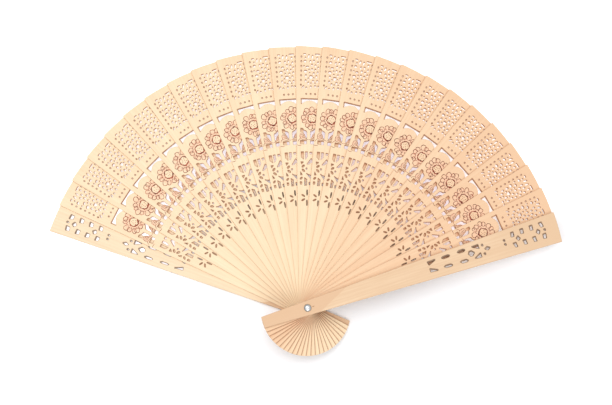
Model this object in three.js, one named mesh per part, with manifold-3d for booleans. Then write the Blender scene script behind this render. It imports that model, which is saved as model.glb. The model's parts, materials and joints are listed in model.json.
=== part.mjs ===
// Brisé hand fan: pierced wooden sticks between two guards, all turning on one rivet.
// Millimetres, +Z up. The rivet's axis is the Z axis and the rear guard lies on z = 0.
import * as THREE from 'three';
import { mergeVertices } from 'three/addons/utils/BufferGeometryUtils.js';
import Module from 'manifold-3d';

const wasm = await Module();
wasm.setup();

// Blade outline, shared by the sticks and the guards
const bladeRadius = 171;
const tailRadius = 30;
const rimWidth = 20;
const pivotWidth = 9.2;
const rimSteps = 2;
const tailSteps = 3;

// Stack and spread
const stickCount = 23;
const stickThickness = 0.7;
const guardThickness = 1.7;
const runningGap = 0.1;
const openAngle = THREE.MathUtils.degToRad(141.6);

// Rivet and the holes that turn on it
const shankRadius = 1.25;
const headRadius = 2.5;
const headHeight = 1.3;
const headSteps = 3;
const flareRadius = 2.3;
const flareDepth = 1;
const pivotClearance = 0.3;
const pivotSides = 6;
const rivetSides = 16;

// How far a cutter reaches past the faces that it cuts
const overcut = 1;

// Pierced bands of a stick, each from its lower to its upper edge as fractions of the blade radius
const petalBand = [0.39, 0.449];
const fretBand = [0.467, 0.598];
const leafBand = [0.624, 0.687];
const windowBand = [0.776, 0.8];
const netBand = [0.833, 0.973];
const borderAcross = 0.76;
const netHolesPerSide = 4;
const petalCount = 6;

// Pierced bands of a guard
const guardTriangleBand = [0.483, 0.516];
const guardSlotBands = [[0.537, 0.573], [0.604, 0.636]];
const guardCentreBand = [0.64, 0.73];
const guardFlowerBands = [[0.82, 0.87], [0.895, 0.947]];

// Half the width of a blade at a height above the pivot
const flank = (rimWidth - pivotWidth) / 2 / bladeRadius;
const halfWidth = (height) => pivotWidth / 2 + flank * height;

// Height at which the tapered edge meets a circle round the pivot, above it or below it
function edgeHeight(radius, side) {
  const base = pivotWidth / 2;
  const slope = 1 + flank * flank;
  const root = Math.sqrt(slope * radius * radius - base * base);
  return (side * root - base * flank) / slope;
}

// Points of a circle round the pivot from one tapered edge of the blade to the other
function endArc(radius, side, steps) {
  const height = edgeHeight(radius, side);
  const reach = Math.atan2(halfWidth(height), side * height);
  const points = [];
  for (let step = 0; step <= steps; step++) {
    const turn = reach * ((2 * step) / steps - 1);
    points.push(new THREE.Vector2(-side * radius * Math.sin(turn), side * radius * Math.cos(turn)));
  }
  return points;
}

const bladeOutline = [...endArc(bladeRadius, 1, rimSteps), ...endArc(tailRadius, -1, tailSteps)];

// Radius to the corners of the pivot hole, whose flat sides lie at a given radius
const cornerRadius = (radius) => radius / Math.cos(Math.PI / pivotSides);

function pivotHole() {
  const radius = cornerRadius(shankRadius + pivotClearance);
  const points = [];
  for (let side = 0; side < pivotSides; side++) {
    const turn = (side / pivotSides) * 2 * Math.PI;
    points.push(new THREE.Vector2(radius * Math.cos(turn), radius * Math.sin(turn)));
  }
  return points;
}

// An opening is drawn as [across, along]: across in half widths, along from 0 to 1 up its band
function place([low, high], opening) {
  return opening.map(([across, along]) => {
    const height = (low + (high - low) * along) * bladeRadius;
    return new THREE.Vector2(across * halfWidth(height), height);
  });
}

const mirror = (opening) => opening.map(([across, along]) => [-across, along]);
const flip = (opening) => opening.map(([across, along]) => [across, 1 - along]);
const bothSides = (openings) => [...openings, ...openings.map(mirror)];
const bothEnds = (openings) => [...openings, ...openings.map(flip)];

// Outer panel: a column of triangles down each side round a heart
function netOpenings() {
  const openings = [];
  for (let row = 0; row < netHolesPerSide; row++) {
    const middle = (row + 0.5) / netHolesPerSide;
    const reach = 0.34 / netHolesPerSide;
    openings.push([[borderAcross, middle - reach], [borderAcross, middle + reach], [0.54, middle]]);
  }
  const heart = [[-0.17, 0.42], [0.17, 0.42], [0, 0.2]];
  return [...bothSides(openings), heart];
}

// Window above the flower, whose lower edge rises as an arch almost to the upper one
function windowOpening() {
  const width = 0.69;
  const rise = 0.78;
  const steps = 4;
  const opening = [[width, 1], [-width, 1]];
  for (let step = 0; step <= steps; step++) {
    const across = (2 * step) / steps - 1;
    opening.push([across * width, rise * (1 - across * across)]);
  }
  return opening;
}

// Spaces above and below the two leaves, on each side of the stem
function leafOpenings() {
  const above = [[0.74, 1], [0.15, 0.8], [0.09, 0.36], [0.74, 0.64]];
  const below = [[0.74, 0.23], [0.11, 0.19], [0.11, 0], [0.74, 0]];
  return bothSides([above, below]);
}

// Slots that stop at the edge of a large diamond, and an arrow head inside each of its points
function fretOpenings() {
  const outerSlot = [[borderAcross, 1], [0.57, 1], [0.57, 0.74], [borderAcross, 0.81]];
  const innerSlot = [[0.43, 1], [0.24, 1], [0.24, 0.83], [0.43, 0.74]];
  const arrowHead = [[-0.27, 0.65], [0.27, 0.65], [0, 0.81]];
  return bothEnds([...bothSides([outerSlot, innerSlot]), arrowHead]);
}

// Wedge petals round a common centre
function petalOpenings() {
  const [low, high] = petalBand;
  const centre = ((low + high) / 2) * bladeRadius;
  const outer = ((high - low) / 2) * bladeRadius;
  const inner = 0.36 * outer;
  const wedge = 0.12;
  const openings = [];
  for (let petal = 0; petal < petalCount; petal++) {
    const turn = Math.PI / 2 + (petal / petalCount) * 2 * Math.PI;
    const corner = ([radius, angle]) =>
      new THREE.Vector2(radius * Math.cos(angle), centre + radius * Math.sin(angle));
    openings.push([[inner, turn], [outer, turn - wedge], [outer, turn + wedge]].map(corner));
  }
  return openings;
}

const stickOpenings = [
  ...netOpenings().map((opening) => place(netBand, opening)),
  place(windowBand, windowOpening()),
  ...leafOpenings().map((opening) => place(leafBand, opening)),
  ...fretOpenings().map((opening) => place(fretBand, opening)),
  ...petalOpenings(),
];

// Four corner openings round a heart
function guardFlower() {
  const corner = [[0.52, 1], [0.27, 0.92], [0.27, 0.72], [0.52, 0.76]];
  const heart = [[-0.17, 0.42], [0.17, 0.42], [0, 0.68]];
  return [...bothEnds(bothSides([corner])), heart];
}

// A diamond over two slanted openings and a kite
function guardCentre() {
  const diamond = [[0, 1], [0.12, 0.86], [0, 0.72], [-0.12, 0.86]];
  const slanted = [[0.5, 0.6], [0.2, 0.62], [0.46, 0.3]];
  const kite = [[0, 0.36], [0.26, 0.13], [0, 0], [-0.26, 0.13]];
  return [diamond, ...bothSides([slanted]), kite];
}

const guardSlot = [[0.58, 0], [0.58, 1], [0.38, 0.9], [0.38, 0.1]];
const guardTriangle = [[0.58, 0], [0.58, 1], [0.22, 0]];

const guardOpenings = [
  ...guardFlowerBands.flatMap((band) => guardFlower().map((opening) => place(band, opening))),
  ...guardCentre().map((opening) => place(guardCentreBand, opening)),
  ...guardSlotBands.flatMap((band) => bothSides([guardSlot]).map((opening) => place(band, opening))),
  ...bothSides([guardTriangle]).map((opening) => place(guardTriangleBand, opening)),
];

function solidOf(geometry) {
  const bare = geometry.clone();
  bare.deleteAttribute('normal');
  bare.deleteAttribute('uv');
  const merged = mergeVertices(bare);
  const vertProperties = merged.attributes.position.array;
  const triVerts = new Uint32Array(merged.index.array);
  return new wasm.Manifold(new wasm.Mesh({ numProp: 3, vertProperties, triVerts }));
}

function geometryOf(solid) {
  const mesh = solid.getMesh();
  const geometry = new THREE.BufferGeometry();
  geometry.setAttribute('position', new THREE.BufferAttribute(mesh.vertProperties, 3));
  geometry.setIndex(new THREE.BufferAttribute(mesh.triVerts, 1));
  return geometry;
}

// A prism that stands on an outline, from one height to another
function prism(outline, low, high) {
  const shape = new THREE.Shape(outline);
  const geometry = new THREE.ExtrudeGeometry(shape, { depth: high - low, bevelEnabled: false });
  return solidOf(geometry.translate(0, 0, low));
}

// A blade of even thickness, cut through by its openings and its pivot hole
function piercedBlade(openings, thickness) {
  let blade = prism(bladeOutline, 0, thickness);
  for (const opening of [pivotHole(), ...openings]) {
    blade = blade.subtract(prism(opening, -overcut, thickness + overcut));
  }
  return blade;
}

// Countersink in the back of the rear guard for the flared end of the rivet
function countersink() {
  const slope = (flareRadius - shankRadius) / flareDepth;
  const narrow = cornerRadius(shankRadius + pivotClearance);
  const wide = cornerRadius(flareRadius + pivotClearance + slope * overcut);
  const cone = new THREE.CylinderGeometry(narrow, wide, flareDepth + overcut, pivotSides);
  cone.rotateY(Math.PI / 2).rotateX(Math.PI / 2);
  return solidOf(cone.translate(0, 0, (flareDepth - overcut) / 2));
}

// Heights of the stack
const stickPitch = stickThickness + runningGap;
const firstStickHeight = guardThickness + runningGap;
const frontGuardHeight = firstStickHeight + stickCount * stickPitch;
const headSeat = frontGuardHeight + guardThickness + runningGap;

// Flared end, shank and domed head, turned round the pivot axis
function rivetGeometry() {
  const profile = [[0, 0], [flareRadius, 0], [shankRadius, flareDepth], [shankRadius, headSeat]];
  const domeRadius = (headRadius * headRadius + headHeight * headHeight) / 2 / headHeight;
  const domeReach = Math.asin(headRadius / domeRadius);
  for (let step = 0; step < headSteps; step++) {
    const turn = domeReach * (1 - step / headSteps);
    const rise = domeRadius * Math.cos(turn) - domeRadius + headHeight;
    profile.push([domeRadius * Math.sin(turn), headSeat + rise]);
  }
  profile.push([0, headSeat + headHeight]);
  const points = profile.map(([radius, height]) => new THREE.Vector2(radius, height));
  return new THREE.LatheGeometry(points, rivetSides).rotateX(Math.PI / 2);
}

const stickWood = new THREE.MeshStandardMaterial({ color: 0xf8dcb5, roughness: 0.65, metalness: 0 });
const guardWood = new THREE.MeshStandardMaterial({ color: 0xf3d2a4, roughness: 0.6, metalness: 0 });
const polishedSteel = new THREE.MeshStandardMaterial({ color: 0xd6d6d2, roughness: 0.25, metalness: 1 });

const fan = new THREE.Group();

// Blades are counted from the rear guard, which is blade 0
function addBlade(name, geometry, material, blade, height) {
  const mesh = new THREE.Mesh(geometry, material);
  mesh.name = name;
  mesh.position.z = height;
  mesh.rotation.z = openAngle * (0.5 - blade / (stickCount + 1));
  fan.add(mesh);
}

const stickBlade = geometryOf(piercedBlade(stickOpenings, stickThickness));
const guardBlade = piercedBlade(guardOpenings, guardThickness);

addBlade('rear_guard', geometryOf(guardBlade.subtract(countersink())), guardWood, 0, 0);
for (let stick = 1; stick <= stickCount; stick++) {
  const name = `stick_${String(stick).padStart(2, '0')}`;
  const height = firstStickHeight + (stick - 1) * stickPitch;
  addBlade(name, stickBlade, stickWood, stick, height);
}
addBlade('front_guard', geometryOf(guardBlade), guardWood, stickCount + 1, frontGuardHeight);

const rivet = new THREE.Mesh(rivetGeometry(), polishedSteel);
rivet.name = 'rivet';
fan.add(rivet);

export default fan;
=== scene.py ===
"""Open wooden hand fan: pierced sticks between two guards on one rivet, with a flower printed on every stick.

A blade is drawn in millimetres in its own frame: across it to the right, and along it from the rivet
outwards.
"""

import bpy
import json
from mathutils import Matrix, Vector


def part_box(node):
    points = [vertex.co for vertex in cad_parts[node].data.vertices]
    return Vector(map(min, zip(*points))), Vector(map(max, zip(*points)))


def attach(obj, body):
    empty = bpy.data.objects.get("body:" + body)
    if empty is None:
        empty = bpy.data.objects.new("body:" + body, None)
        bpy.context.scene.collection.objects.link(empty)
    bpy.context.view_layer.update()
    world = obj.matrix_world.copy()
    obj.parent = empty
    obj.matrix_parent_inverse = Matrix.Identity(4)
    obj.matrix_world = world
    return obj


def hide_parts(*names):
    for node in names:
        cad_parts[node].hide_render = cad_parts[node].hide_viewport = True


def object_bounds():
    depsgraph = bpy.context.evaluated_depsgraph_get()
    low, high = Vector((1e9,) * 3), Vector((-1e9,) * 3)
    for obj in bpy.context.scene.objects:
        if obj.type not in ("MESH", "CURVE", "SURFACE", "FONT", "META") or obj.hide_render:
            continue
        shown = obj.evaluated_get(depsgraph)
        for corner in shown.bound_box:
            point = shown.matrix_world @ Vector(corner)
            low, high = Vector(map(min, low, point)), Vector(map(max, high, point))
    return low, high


bl_info = {
    "name": "Wooden Hand Fan",
    "version": (1, 0, 0),
    "blender": (4, 5, 0),
    "location": "View3D > Sidebar > Hand Fan",
    "description": "Dresses the fan's frame with pierced blades, printed flowers and a polished rivet",
    "category": "Object",
}

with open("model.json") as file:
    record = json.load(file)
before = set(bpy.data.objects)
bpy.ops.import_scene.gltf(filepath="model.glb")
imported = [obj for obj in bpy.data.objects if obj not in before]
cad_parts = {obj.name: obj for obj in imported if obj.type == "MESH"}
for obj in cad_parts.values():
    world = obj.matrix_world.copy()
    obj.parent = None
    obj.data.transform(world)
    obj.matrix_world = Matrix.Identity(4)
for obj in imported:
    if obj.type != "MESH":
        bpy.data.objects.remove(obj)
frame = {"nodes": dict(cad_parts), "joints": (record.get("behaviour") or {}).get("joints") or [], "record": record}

import json
import math

import bpy
import numpy as np
from bpy.props import FloatProperty, FloatVectorProperty, IntProperty, PointerProperty
from mathutils.geometry import delaunay_2d_cdt

MM = 0.001

# What the frame says of the blades
CAD_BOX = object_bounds()
STICKS = sorted(name for name in frame["nodes"] if name.startswith("stick_"))
GUARDS = ["rear_guard", "front_guard"]
BLADES = [GUARDS[0], *STICKS, GUARDS[1]]
TURNS = {joint["child"]: joint["range_deg"][1] for joint in frame["joints"]}
BODIES = {node: body for body, nodes in frame["record"]["behaviour"]["bodies"].items() for node in nodes}
MIDDLE_LOW, MIDDLE_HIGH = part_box(STICKS[len(STICKS) // 2])
RIVET_LOW, RIVET_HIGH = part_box("rivet")

# Names of the mesh attributes that the wood reads
PLACE = "blade_place"
CUT = "cut_edge"

# Side of an opening that is painted darkest, as painted shadow cast by its edge, given as a direction across and
# along the blade
STICK_SHADOW_SIDE = (-0.2, 0.98)
GUARD_SHADOW_SIDES = {"rear_guard": (0.1, 0.98), "front_guard": (-0.95, -0.3)}

# Share of an opening's darkening that goes all round it as a brown cut edge, the rest lying as painted shadow on
# its shadow side
ALL_ROUND = {
    "net": 0.1,
    "border": 0.7,
    "window": 0.15,
    "leaf": 0.2,
    "fret": 0.2,
    "slit": 0.25,
    "petal": 0.48,
    "pivot": 0.2,
    "guard": 0.3,
}

# How far a blade's outer edge is darkened, a brown cut edge that also paints shade at the seams between blades,
# against the edges of its openings
OUTLINE_BROWN_AND_SHADE = 0.06

# Largest share of a side that a rounded corner takes
MOST_OF_SIDE = 0.45

# Least divisor of a mitre, so that a sharp corner isn't drawn out far
SHARPEST_MITRE = 0.6

# Points of a face that lie nearer than this, in millimetres, count as one
MERGE_LIMIT = 1e-6

# Share by which an inmost petal that points sideways is shorter
SIDE_PETAL_LOSS = 0.4

# Angle between faces past which the rivet's edges stay sharp
RIVET_SHARP = math.radians(50)

# How far one blade's grain lies from the next one's in the noise
SERIAL_STEP = 7.3
SERIAL_SPAN = SERIAL_STEP * len(BLADES)

# Where painted shadow lies thickest on the covered part of a stick, under the upper ends of the next stick's
# openings, and how far on it does so again, in millimetres
SHADE_CREST = 100.9
SHADE_PITCH = 7.65

# Spans along a blade, in millimetres from the rivet outwards, over which its wood changes
TAIL_SPAN = (-9.0, -2.0)
PIERCED_SPAN = (48.0, 62.0)
COVERED_SPAN = (60.0, 66.0)
CRESTED_SPAN = (97.0, 99.0)
FRET_END_SPAN = (102.0, 105.0)
OUTER_SPAN = (125.0, 168.0)

# Strip of painted shade along each flank, where the neighbouring blade's edge shades it, in millimetres from the
# flank, and the share of it that is on the side wall
FLANK_SHADE_STRIP = (0.08, 0.68)
FLANK_SHADE_WALL = 0.3

# Shares by which grain, pores, ring figure, the painted flank shade, brown cuts with their painted shadow and
# painted crevice shade on the tail show
GRAIN_SHARE = 0.55
PORE_SHARE = 0.35
STICK_FIGURE = 0.05
GUARD_FIGURE = 0.1
STICK_FLANK_SHADE = 1.0
GUARD_FLANK_SHADE = 0.3
STICK_BROWNED_AND_SHADED = 0.95
GUARD_BROWNED_AND_SHADED = 0.9
TAIL_SHADE = 0.3

# Slanting line where a guard's pinker handle ends, and the middle of the dark mark by the rivet
HANDLE_SLANT = 2.1
HANDLE_SPAN = (17.6, 18.4)
RIVET_MARK = (0.1, 3.7)

# Floor: its darker mottle, and how far from the rivet each band of painted light begins and is full, in
# millimetres
FLOOR_MOTTLE = 0.985
UNLIT = (0, 0, 0, 1)
GLOW_BANDS = (
    ("glow_inner", 78, 86),
    ("glow_fret", 88, 99),
    ("glow_leaf", 103, 110),
    ("glow_window", 118, 132),
)
NET_GLOW = (137, 141)

# Sines of the angles about the rivet over which the glow changes at the fan's edge and fades in on the right
FAN_EDGE_RISE = (0.25, 0.29)
RIGHT_GUARD_RISE = (0.34, 0.5)

# Ovals of a stick's outer net: across from its axis, along, width, height, and lean to the right in degrees
NET_OVALS = (
    (-1.7, 164.2, 0.95, 2.7, 16),
    (0.75, 163.9, 0.95, 2.6, 13),
    (4.0, 163.1, 0.95, 1.7, 8),
    (-4.0, 160.8, 2.0, 1.35, -14),
    (-0.5, 160.7, 1.0, 1.8, 10),
    (1.8, 161.1, 1.05, 1.7, 10),
    (4.4, 160.0, 1.05, 1.6, 20),
    (-2.4, 157.2, 2.1, 1.1, -10),
    (0.6, 158.4, 1.1, 1.7, 10),
    (2.9, 158.0, 1.1, 1.6, 10),
    (4.7, 156.7, 0.9, 1.4, 15),
    (-3.6, 154.2, 2.4, 1.65, -8),
    (0.6, 155.5, 1.1, 1.7, 15),
    (2.9, 155.2, 1.05, 1.5, 15),
    (1.8, 152.8, 1.15, 1.6, 15),
    (4.4, 153.4, 1.05, 1.6, 15),
    (-3.3, 151.2, 1.15, 2.0, 8),
    (3.6, 150.8, 1.05, 1.7, 0),
    (-3.4, 147.9, 1.1, 1.8, 12),
    (-1.7, 146.4, 1.15, 1.9, 10),
    (1.5, 147.7, 1.4, 1.7, 0),
    (4.1, 147.8, 1.15, 1.7, 15),
    (-5.1, 143.9, 0.85, 2.4, 36),
    (-2.9, 143.4, 1.0, 1.15, 0),
    (0.0, 143.9, 1.1, 1.8, 5),
    (2.9, 144.4, 1.5, 1.25, 0),
    (5.1, 143.9, 0.85, 2.4, -36),
    (-3.7, 163.1, 0.7, 1.1, 10),
    (-4.6, 157.5, 0.7, 1.2, 0),
    (-1.2, 155.2, 0.7, 1.2, 10),
    (-0.9, 153.0, 0.7, 1.1, 10),
    (-1.7, 149.4, 0.7, 1.2, 10),
    (1.9, 149.8, 0.7, 1.1, 0),
    (0.1, 146.2, 0.7, 1.1, 0),
    (2.8, 146.3, 0.65, 1.0, 0),
)

# Bars at the outer end of the net, and its heart
NET_BARS = (
    ((-5.0, 165.2), (-3.5, 165.2), (-3.5, 165.8), (-5.0, 165.8)),
    ((2.6, 165.2), (5.6, 165.2), (5.6, 165.8), (2.6, 165.8)),
    (
        (0.05, 149.2), (1.0, 150.4), (1.05, 151.1), (0.6, 151.5), (0.05, 151.25),
        (-0.5, 151.5), (-0.95, 151.1), (-0.9, 150.4),
    ),
)

# Line that the two leaves are mirrored about, and the openings round the left one
LEAF_AXIS = -0.35
LEAF_OPENINGS = (
    (
        (-5.6, 116.7), (-4.2, 116.6), (-3.6, 115.6), (-1.9, 114.9), (-1.5, 114.1), (-1.45, 110.6),
        (-2.2, 111.0), (-2.9, 113.0), (-4.2, 114.2), (-5.6, 114.5),
    ),
    ((-5.6, 108.7), (-1.6, 108.6), (-1.6, 106.6), (-5.6, 106.6)),
)

# Fret further in, whose far right lies under the next stick
FRET_OPENINGS = (
    ((-5.0, 101.3), (-3.3, 101.3), (-3.3, 96.4), (-5.0, 98.0)),
    ((-2.3, 101.3), (-0.8, 101.3), (-0.8, 98.4), (-2.2, 96.5)),
    ((0.65, 101.2), (2.05, 101.2), (2.05, 100.3), (0.65, 99.9)),
    ((3.5, 101.3), (4.7, 101.3), (4.7, 98.2), (3.5, 99.6)),
    ((-5.0, 94.8), (-3.3, 94.7), (-4.8, 93.2)),
    ((1.6, 97.1), (-1.1, 93.3), (0.5, 93.5), (1.2, 94.5), (2.1, 94.5), (2.8, 93.5), (4.4, 93.3)),
    ((1.4, 84.0), (4.4, 87.3), (2.8, 86.6), (1.4, 86.2), (0.0, 86.6), (-1.4, 87.3)),
    ((-5.1, 88.2), (-5.2, 86.2), (-3.9, 86.4)),
    ((-5.3, 81.8), (-4.1, 81.7), (-4.1, 80.3), (-5.3, 80.2)),
    ((-2.5, 84.5), (-0.9, 83.4), (-0.9, 79.7), (-2.5, 79.5)),
    ((0.4, 81.6), (1.7, 81.5), (1.7, 79.9), (0.4, 79.9)),
    ((5.4, 82.3), (6.5, 82.3), (6.5, 79.8), (5.4, 79.8)),
)

# Slits and small round holes of the fret, given as the net's ovals are
FRET_SLITS = (
    (-3.5, 92.0, 2.1, 1.05, -38),
    (-3.25, 89.2, 2.2, 1.15, 38),
    (-4.65, 84.1, 1.8, 0.9, -40),
    (-1.35, 90.4, 0.9, 0.9, 0),
    (3.6, 90.4, 0.9, 0.9, 0),
)

# Line that a guard's pattern is mirrored about, the openings to the left of it, and those on it
GUARD_AXIS = -0.6
GUARD_SIDES = (
    ((-6.2, 161.6), (-6.0, 159.2), (-2.8, 159.8), (-2.7, 162.1)),
    ((-6.1, 155.1), (-6.0, 152.9), (-2.8, 152.6), (-2.6, 154.8)),
    ((-5.9, 148.6), (-5.8, 146.3), (-2.7, 146.0), (-2.6, 148.3)),
    ((-5.7, 141.9), (-5.6, 140.0), (-2.6, 139.3), (-2.5, 141.6)),
    ((-4.8, 117.6), (-1.9, 117.6), (-4.5, 112.3)),
    ((-4.2, 108.8), (-3.3, 107.4), (-3.2, 103.7), (-3.8, 102.3), (-4.7, 103.6), (-4.8, 107.3)),
    ((-3.8, 98.2), (-3.0, 96.9), (-2.9, 92.7), (-3.5, 91.4), (-4.2, 92.7), (-4.3, 96.9)),
    ((-4.2, 88.4), (-1.6, 82.3), (-3.9, 82.0)),
)
GUARD_SIDE_DOTS = ((-1.9, 134.4, 0.9, 1.0, 0), (-3.5, 119.8, 0.9, 1.0, 0))
GUARD_CENTRE = (
    ((-0.9, 159.0), (-2.4, 157.5), (-0.4, 155.9), (1.2, 157.5)),
    ((-0.3, 145.2), (-2.3, 144.0), (-0.9, 142.2), (1.1, 143.3)),
    ((-0.6, 124.6), (-1.8, 122.5), (-0.6, 120.4), (0.6, 122.5)),
    ((-0.6, 114.1), (-2.5, 112.0), (-2.3, 110.1), (-0.6, 109.0), (1.1, 110.1), (1.3, 112.0)),
)
GUARD_CENTRE_DOT = (-0.6, 162.0, 0.9, 1.1, 0)

# Printed strokes of the left leaf, the middle of a leaf as measured from the leaves' line, and the dash below
LEAF_STROKES = (
    ((-1.5, 109.9), (-2.7, 111.6), (-3.3, 112.8), (-4.6, 113.7), (-5.8, 113.5)),
    ((-5.8, 113.5), (-6.1, 112.2), (-5.8, 110.7), (-5.0, 109.9)),
    ((-5.0, 109.9), (-3.6, 109.6), (-2.4, 109.6), (-1.2, 109.7), (-0.4, 109.6)),
    ((-1.9, 110.0), (-3.2, 110.7), (-4.9, 110.9)),
    ((-2.9, 111.0), (-3.9, 111.6), (-5.4, 111.7)),
    ((-3.3, 112.0), (-4.2, 112.6), (-5.5, 112.7)),
    ((-5.6, 110.3), (-6.6, 109.6), (-7.2, 108.2)),
)
LEAF_MIDDLE = (4.0, 111.7)
DASH_STROKE = ((-7.7, 105.9), (-6.4, 105.7), (-5.0, 105.8))

# Ink line: shares of its width at an open end and on its flat top, and the share of its depth that is sunk
INK_END = 0.45
INK_TOP = 0.75
INK_SUNK = 0.2

# How the flower's petals differ: an amount, and radians for each petal and for each stick
UNEVEN = {"size": (0.17, 2.4, 1.3), "reach": (0.07, 1.7, 2.1), "turn": (0.1, 2.2, 3.7)}

# Petals: direction of the first, distance of a foot from the ring, swing of a round end to each side in
# radians, and half the width at the foot as a share of the round end's radius
FIRST_PETAL = math.radians(177)
PETAL_FOOT = 1.2
PETAL_SWING = 1.9
FOOT_SHARE = 0.55

# Inner row of round ends: distance from the ring, radius, swing, and share of the line's width
INNER_OUT = 1.0
INNER_RADIUS = 0.95
INNER_SWING = 1.7
INNER_LINE = 0.7

# Ring: depths of its two waves, and shares of the line's width everywhere, more of it below, and in its swell
RING_LOBES = 0.16
RING_DRIFT = 0.14
RING_LINE = 1.5
RING_BELOW = 0.8
RING_SWELL = 0.4

# Seeds: step of their turn, share of the ring's radius that they fill, half their length, slant and line
GOLDEN_ANGLE = math.radians(137.5)
SEED_REACH = 0.62
SEED_HALF = 0.3
SEED_SLANT = (0.3, 1)
SEED_LINE = 0.9

# How far a print's lines shake and the whole print shifts, in millimetres
PRINT_SHAKE = 0.1
PRINT_SHIFT = 0.15


def length(name, description, millimetres):
    """A length property whose default is given in millimetres."""
    return FloatProperty(
        name=name, description=description, default=millimetres * MM, unit="LENGTH", precision=5
    )


def number(name, description, value, unit="NONE"):
    """A plain number property, with a unit where one fits."""
    return FloatProperty(name=name, description=description, default=value, unit=unit)


def count(name, description, value, least):
    """A whole number property."""
    return IntProperty(name=name, description=description, default=value, min=least)


def location(name, description, *metres):
    """A property that holds a place on the stage."""
    return FloatVectorProperty(
        name=name, description=description, subtype="TRANSLATION", unit="LENGTH", default=metres
    )


def colour(name, description, *tone):
    """A linear colour property, given as red, green and blue."""
    return FloatVectorProperty(
        name=name, description=description, subtype="COLOR", size=3, min=0, max=1, default=tone
    )


class FanBlades(bpy.types.PropertyGroup):
    """Outline and edges of the sticks and guards"""

    tip_radius: length("Tip radius", "From the rivet to the rim", MIDDLE_HIGH.y / MM)
    tail_radius: length("Tail radius", "From the rivet to the tail's end", 30)
    rim_width: length("Rim width", "Width of a blade at the rim", (MIDDLE_HIGH.x - MIDDLE_LOW.x) / MM)
    pivot_width: length("Pivot width", "Width of a blade at the rivet", 9.2)
    pivot_hole: length("Pivot hole", "Radius of the hole that turns on the rivet", 1.55)
    tip_lean: number("Tip lean", "Fall of a blade's tip from left to right", 0.042)
    corner_round: length("Corner round", "How far a blade's corners are rounded", 0.5)
    opening_round: length("Opening round", "How far the corners of an opening are rounded", 0.28)
    stick_edge: length("Stick edge", "Chamfer along every edge of a stick", 0.07)
    guard_edge: length("Guard edge", "Chamfer along every edge of a guard", 0.15)
    # Rims of brown cut edge and, on each opening's shadow side, painted shadow
    fine_rim: length("Fine rim", "How far the browning of a small cut reaches on to the face", 0.6)
    bold_rim: length("Bold rim", "How far the browning of a large cut reaches on to the face", 0.62)
    guard_rim: length("Guard rim", "How far the browning of a guard's cut reaches on to the face", 1.0)
    window_rim: length("Window rim", "How far the browning of the window reaches on to the face", 0.85)
    guard_fill: number("Guard fill", "Share of its place that a guard's opening is cut to", 0.76)


class FanPiercing(bpy.types.PropertyGroup):
    """Repeated openings of a stick"""

    border_holes: count("Border holes", "Holes down each side of the net", 7, 1)
    border_top: length("Border top", "Height of the first border hole", 164.0)
    border_pitch: length("Border pitch", "From one border hole to the next", 3.1)
    border_across: length("Border across", "From the net's axis to the middle of a border hole", 6.45)
    border_width: length("Border width", "Width of a border hole", 0.36)
    border_height: length("Border height", "Height of a border hole", 0.5)
    net_axis: length("Net axis", "Offset of the net from the middle of the stick", 0.5)
    net_fill: number("Net fill", "Share of its place that a net hole is cut to", 0.86)
    dot_along: length("Dot height", "Height of the three dots", 139.5)
    dot_pitch: length("Dot pitch", "From one dot to the next", 2.9)
    dot_width: length("Dot width", "Diameter of a dot", 0.4)
    window_low: length("Window low", "Height of the window's lower corners", 132.7)
    window_high: length("Window high", "Height of the window's upper edge", 136.0)
    window_rise: length("Window rise", "Rise of the arch in the window's lower edge", 2.6)
    window_width: length("Window width", "Width of the window", 11.2)
    petal_holes: count("Petal holes", "Petal openings of the inmost flower", 6, 3)
    petal_along: length("Petal height", "Height of the inmost flower's centre", 71.6)
    petal_axis: length("Petal axis", "Offset of the inmost flower from the middle of the stick", -0.7)
    petal_inner: length("Petal inner", "From that centre to a petal's inner end", 1.75)
    petal_outer: length("Petal outer", "From that centre to a petal's outer end", 4.9)
    petal_width: length("Petal width", "Width of a petal opening", 0.55)


class FanPrint(bpy.types.PropertyGroup):
    """The printed flower"""

    flower_across: length("Flower across", "Offset of the flower from the middle of the stick", 1.6)
    flower_along: length("Flower height", "Height of the flower's centre", 123.7)
    petals: count("Petals", "Petals of the printed flower", 13, 3)
    petal_centre: length("Petal centre", "From the flower's centre to that of a petal's round end", 5.85)
    petal_radius: length("Petal radius", "Radius of a petal's round end", 1.4)
    disc_radius: length("Disc radius", "Radius of the ring round the seeds", 2.85)
    seeds: count("Seeds", "Seed marks inside the ring", 7, 0)
    line_width: length("Line width", "Width of a printed line", 0.42)
    leaf_line: length("Leaf line", "Width of a printed line on the leaves", 0.32)
    ink_depth: length("Ink depth", "How far the ink stands on the wood", 0.03)


class FanRivet(bpy.types.PropertyGroup):
    """The rivet"""

    head_radius: length("Head radius", "Radius of the domed head", RIVET_HIGH.x / MM)
    head_height: length("Head height", "Height of the domed head", 1.3)
    shank_radius: length("Shank radius", "Radius of the shank", 1.25)
    flare_radius: length("Flare radius", "Radius of the flared end at the back", 2.3)
    flare_depth: length("Flare depth", "Depth of the flared end", 1)
    lip: length("Lip", "Rounding of the rims of the head and the flared end", 0.08)
    sides: count("Sides", "Steps round the rivet", 64, 8)


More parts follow.
